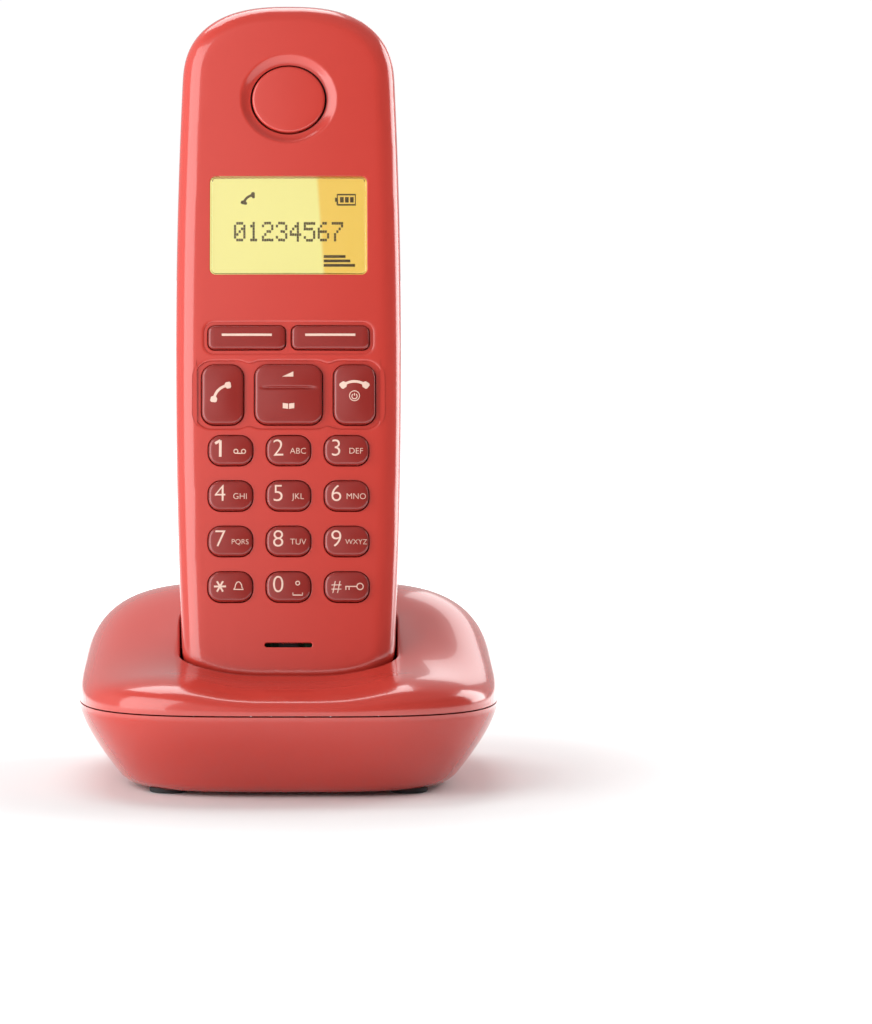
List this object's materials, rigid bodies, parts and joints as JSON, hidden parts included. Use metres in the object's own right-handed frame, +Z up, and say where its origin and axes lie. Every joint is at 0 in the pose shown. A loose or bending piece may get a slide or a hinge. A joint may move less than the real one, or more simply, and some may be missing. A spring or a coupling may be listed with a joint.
{
  "type": "cordless telephone",
  "caption": "Red cordless telephone: a slim keypad handset with an amber display, leaning back in a low rounded charging base.",
  "frame": {"origin": "on the surface the base stands on, under the middle of the bounding box", "axes": "+Z up, the front of the telephone faces -Y, +X to its right as seen from the front; the handset leans back 14 degrees towards +Y"},
  "size_m": [0.0878, 0.087, 0.1625],
  "materials": {
    "case_red": "coral red moulded plastic, polished to a soft gloss",
    "key_red": "dark red keys with a clear gloss face and pale printed legends",
    "window_clear": "clear acrylic window over an amber lit display",
    "lcd_glass": "amber lit liquid crystal glass",
    "light_guide": "milky acrylic light guide",
    "silicone_grey": "matt grey silicone",
    "polyester_film": "thin polyester film with snap domes",
    "board_green": "green solder mask on fibreglass",
    "speaker_black": "black speaker and microphone cases",
    "cell_sleeve": "plain green printed sleeve over a metal can",
    "spring_steel": "bright nickel-plated spring steel",
    "gold_plate": "gold-flashed charging contacts",
    "rubber_black": "matt black rubber",
    "socket_black": "black moulded socket bodies"
  },
  "bodies": {
    "base": {"base_top_cover": "case_red", "base_bottom_shell": "case_red", "foot_front_left": "rubber_black", "foot_front_right": "rubber_black", "foot_back_left": "rubber_black", "foot_back_right": "rubber_black", "base_screw_left": "spring_steel", "base_screw_right": "spring_steel", "base_board": "board_green", "base_antenna": "spring_steel", "line_socket": "socket_black", "power_socket": "socket_black", "page_switch": "socket_black"},
    "handset": {"handset_front_shell": "case_red", "handset_rear_shell": "case_red", "display_window": "window_clear", "lcd_panel": "lcd_glass", "backlight_guide": "light_guide", "earpiece_disc": "case_red", "earpiece_speaker": "speaker_black", "ringer_speaker": "speaker_black", "microphone": "speaker_black", "keypad_mat": "silicone_grey", "dome_sheet": "polyester_film", "handset_board": "board_green", "handset_antenna": "spring_steel", "battery_left": "cell_sleeve", "battery_right": "cell_sleeve", "battery_link_contact": "spring_steel", "battery_terminal_positive": "spring_steel", "battery_terminal_negative": "spring_steel", "battery_spring_left": "spring_steel", "battery_spring_right": "spring_steel", "handset_screw_left": "spring_steel", "handset_screw_right": "spring_steel", "charge_strip_left": "gold_plate", "charge_strip_right": "gold_plate"},
    "battery_door": {"battery_door": "case_red"},
    "page_key": {"page_key": "key_red"},
    "charge_contact_left": {"charge_contact_left": "gold_plate"},
    "charge_contact_right": {"charge_contact_right": "gold_plate"},
    "navigation_key": {"navigation_key": "key_red"},
    "key_0": {"key_0": "key_red"},
    "key_1": {"key_1": "key_red"},
    "key_2": {"key_2": "key_red"},
    "key_3": {"key_3": "key_red"},
    "key_4": {"key_4": "key_red"},
    "key_5": {"key_5": "key_red"},
    "key_6": {"key_6": "key_red"},
    "key_7": {"key_7": "key_red"},
    "key_8": {"key_8": "key_red"},
    "key_9": {"key_9": "key_red"},
    "key_star": {"key_star": "key_red"},
    "key_hash": {"key_hash": "key_red"},
    "softkey_left": {"softkey_left": "key_red"},
    "softkey_right": {"softkey_right": "key_red"},
    "talk_key": {"talk_key": "key_red"},
    "end_key": {"end_key": "key_red"}
  },
  "joints": [
    {"name": "handset_lift", "type": "slide", "parent": "base", "child": "handset", "axis": [0, 0.2419, 0.9703], "range_m": [0, 0.06]},
    {"name": "key_0_press", "type": "slide", "parent": "handset", "child": "key_0", "axis": [0, 0.9703, -0.2419], "range_m": [0, 0.0007], "stiffness_N_per_m": 300},
    {"name": "key_1_press", "type": "slide", "parent": "handset", "child": "key_1", "axis": [0, 0.9703, -0.2419], "range_m": [0, 0.0007], "stiffness_N_per_m": 300},
    {"name": "key_2_press", "type": "slide", "parent": "handset", "child": "key_2", "axis": [0, 0.9703, -0.2419], "range_m": [0, 0.0007], "stiffness_N_per_m": 300},
    {"name": "key_3_press", "type": "slide", "parent": "handset", "child": "key_3", "axis": [0, 0.9703, -0.2419], "range_m": [0, 0.0007], "stiffness_N_per_m": 300},
    {"name": "key_4_press", "type": "slide", "parent": "handset", "child": "key_4", "axis": [0, 0.9703, -0.2419], "range_m": [0, 0.0007], "stiffness_N_per_m": 300},
    {"name": "key_5_press", "type": "slide", "parent": "handset", "child": "key_5", "axis": [0, 0.9703, -0.2419], "range_m": [0, 0.0007], "stiffness_N_per_m": 300},
    {"name": "key_6_press", "type": "slide", "parent": "handset", "child": "key_6", "axis": [0, 0.9703, -0.2419], "range_m": [0, 0.0007], "stiffness_N_per_m": 300},
    {"name": "key_7_press", "type": "slide", "parent": "handset", "child": "key_7", "axis": [0, 0.9703, -0.2419], "range_m": [0, 0.0007], "stiffness_N_per_m": 300},
    {"name": "key_8_press", "type": "slide", "parent": "handset", "child": "key_8", "axis": [0, 0.9703, -0.2419], "range_m": [0, 0.0007], "stiffness_N_per_m": 300},
    {"name": "key_9_press", "type": "slide", "parent": "handset", "child": "key_9", "axis": [0, 0.9703, -0.2419], "range_m": [0, 0.0007], "stiffness_N_per_m": 300},
    {"name": "key_star_press", "type": "slide", "parent": "handset", "child": "key_star", "axis": [0, 0.9703, -0.2419], "range_m": [0, 0.0007], "stiffness_N_per_m": 300},
    {"name": "key_hash_press", "type": "slide", "parent": "handset", "child": "key_hash", "axis": [0, 0.9703, -0.2419], "range_m": [0, 0.0007], "stiffness_N_per_m": 300},
    {"name": "softkey_left_press", "type": "slide", "parent": "handset", "child": "softkey_left", "axis": [0, 0.9703, -0.2419], "range_m": [0, 0.0007], "stiffness_N_per_m": 300},
    {"name": "softkey_right_press", "type": "slide", "parent": "handset", "child": "softkey_right", "axis": [0, 0.9703, -0.2419], "range_m": [0, 0.0007], "stiffness_N_per_m": 300},
    {"name": "talk_key_press", "type": "slide", "parent": "handset", "child": "talk_key", "axis": [0, 0.9703, -0.2419], "range_m": [0, 0.0007], "stiffness_N_per_m": 300},
    {"name": "end_key_press", "type": "slide", "parent": "handset", "child": "end_key", "axis": [0, 0.9703, -0.2419], "range_m": [0, 0.0007], "stiffness_N_per_m": 300},
    {"name": "navigation_rock", "type": "hinge", "parent": "handset", "child": "navigation_key", "pos_m": [0, -0.00762, 0.08131], "axis": [1, 0, 0], "range_deg": [-3, 3], "stiffness_Nm_per_rad": 0.03},
    {"name": "battery_door_tip", "type": "hinge", "parent": "handset", "child": "battery_door", "pos_m": [0, 0.01194, 0.04773], "axis": [-1, 0, 0], "range_deg": [0, 40]},
    {"name": "charge_contact_left_press", "type": "slide", "parent": "base", "child": "charge_contact_left", "axis": [0, 0.2419, 0.9703], "range_m": [-0.0012, 0], "stiffness_N_per_m": 200},
    {"name": "charge_contact_right_press", "type": "slide", "parent": "base", "child": "charge_contact_right", "axis": [0, 0.2419, 0.9703], "range_m": [-0.0012, 0], "stiffness_N_per_m": 200},
    {"name": "page_key_press", "type": "slide", "parent": "base", "child": "page_key", "axis": [0, -1, 0], "range_m": [0, 0.0007], "stiffness_N_per_m": 300}
  ]
}
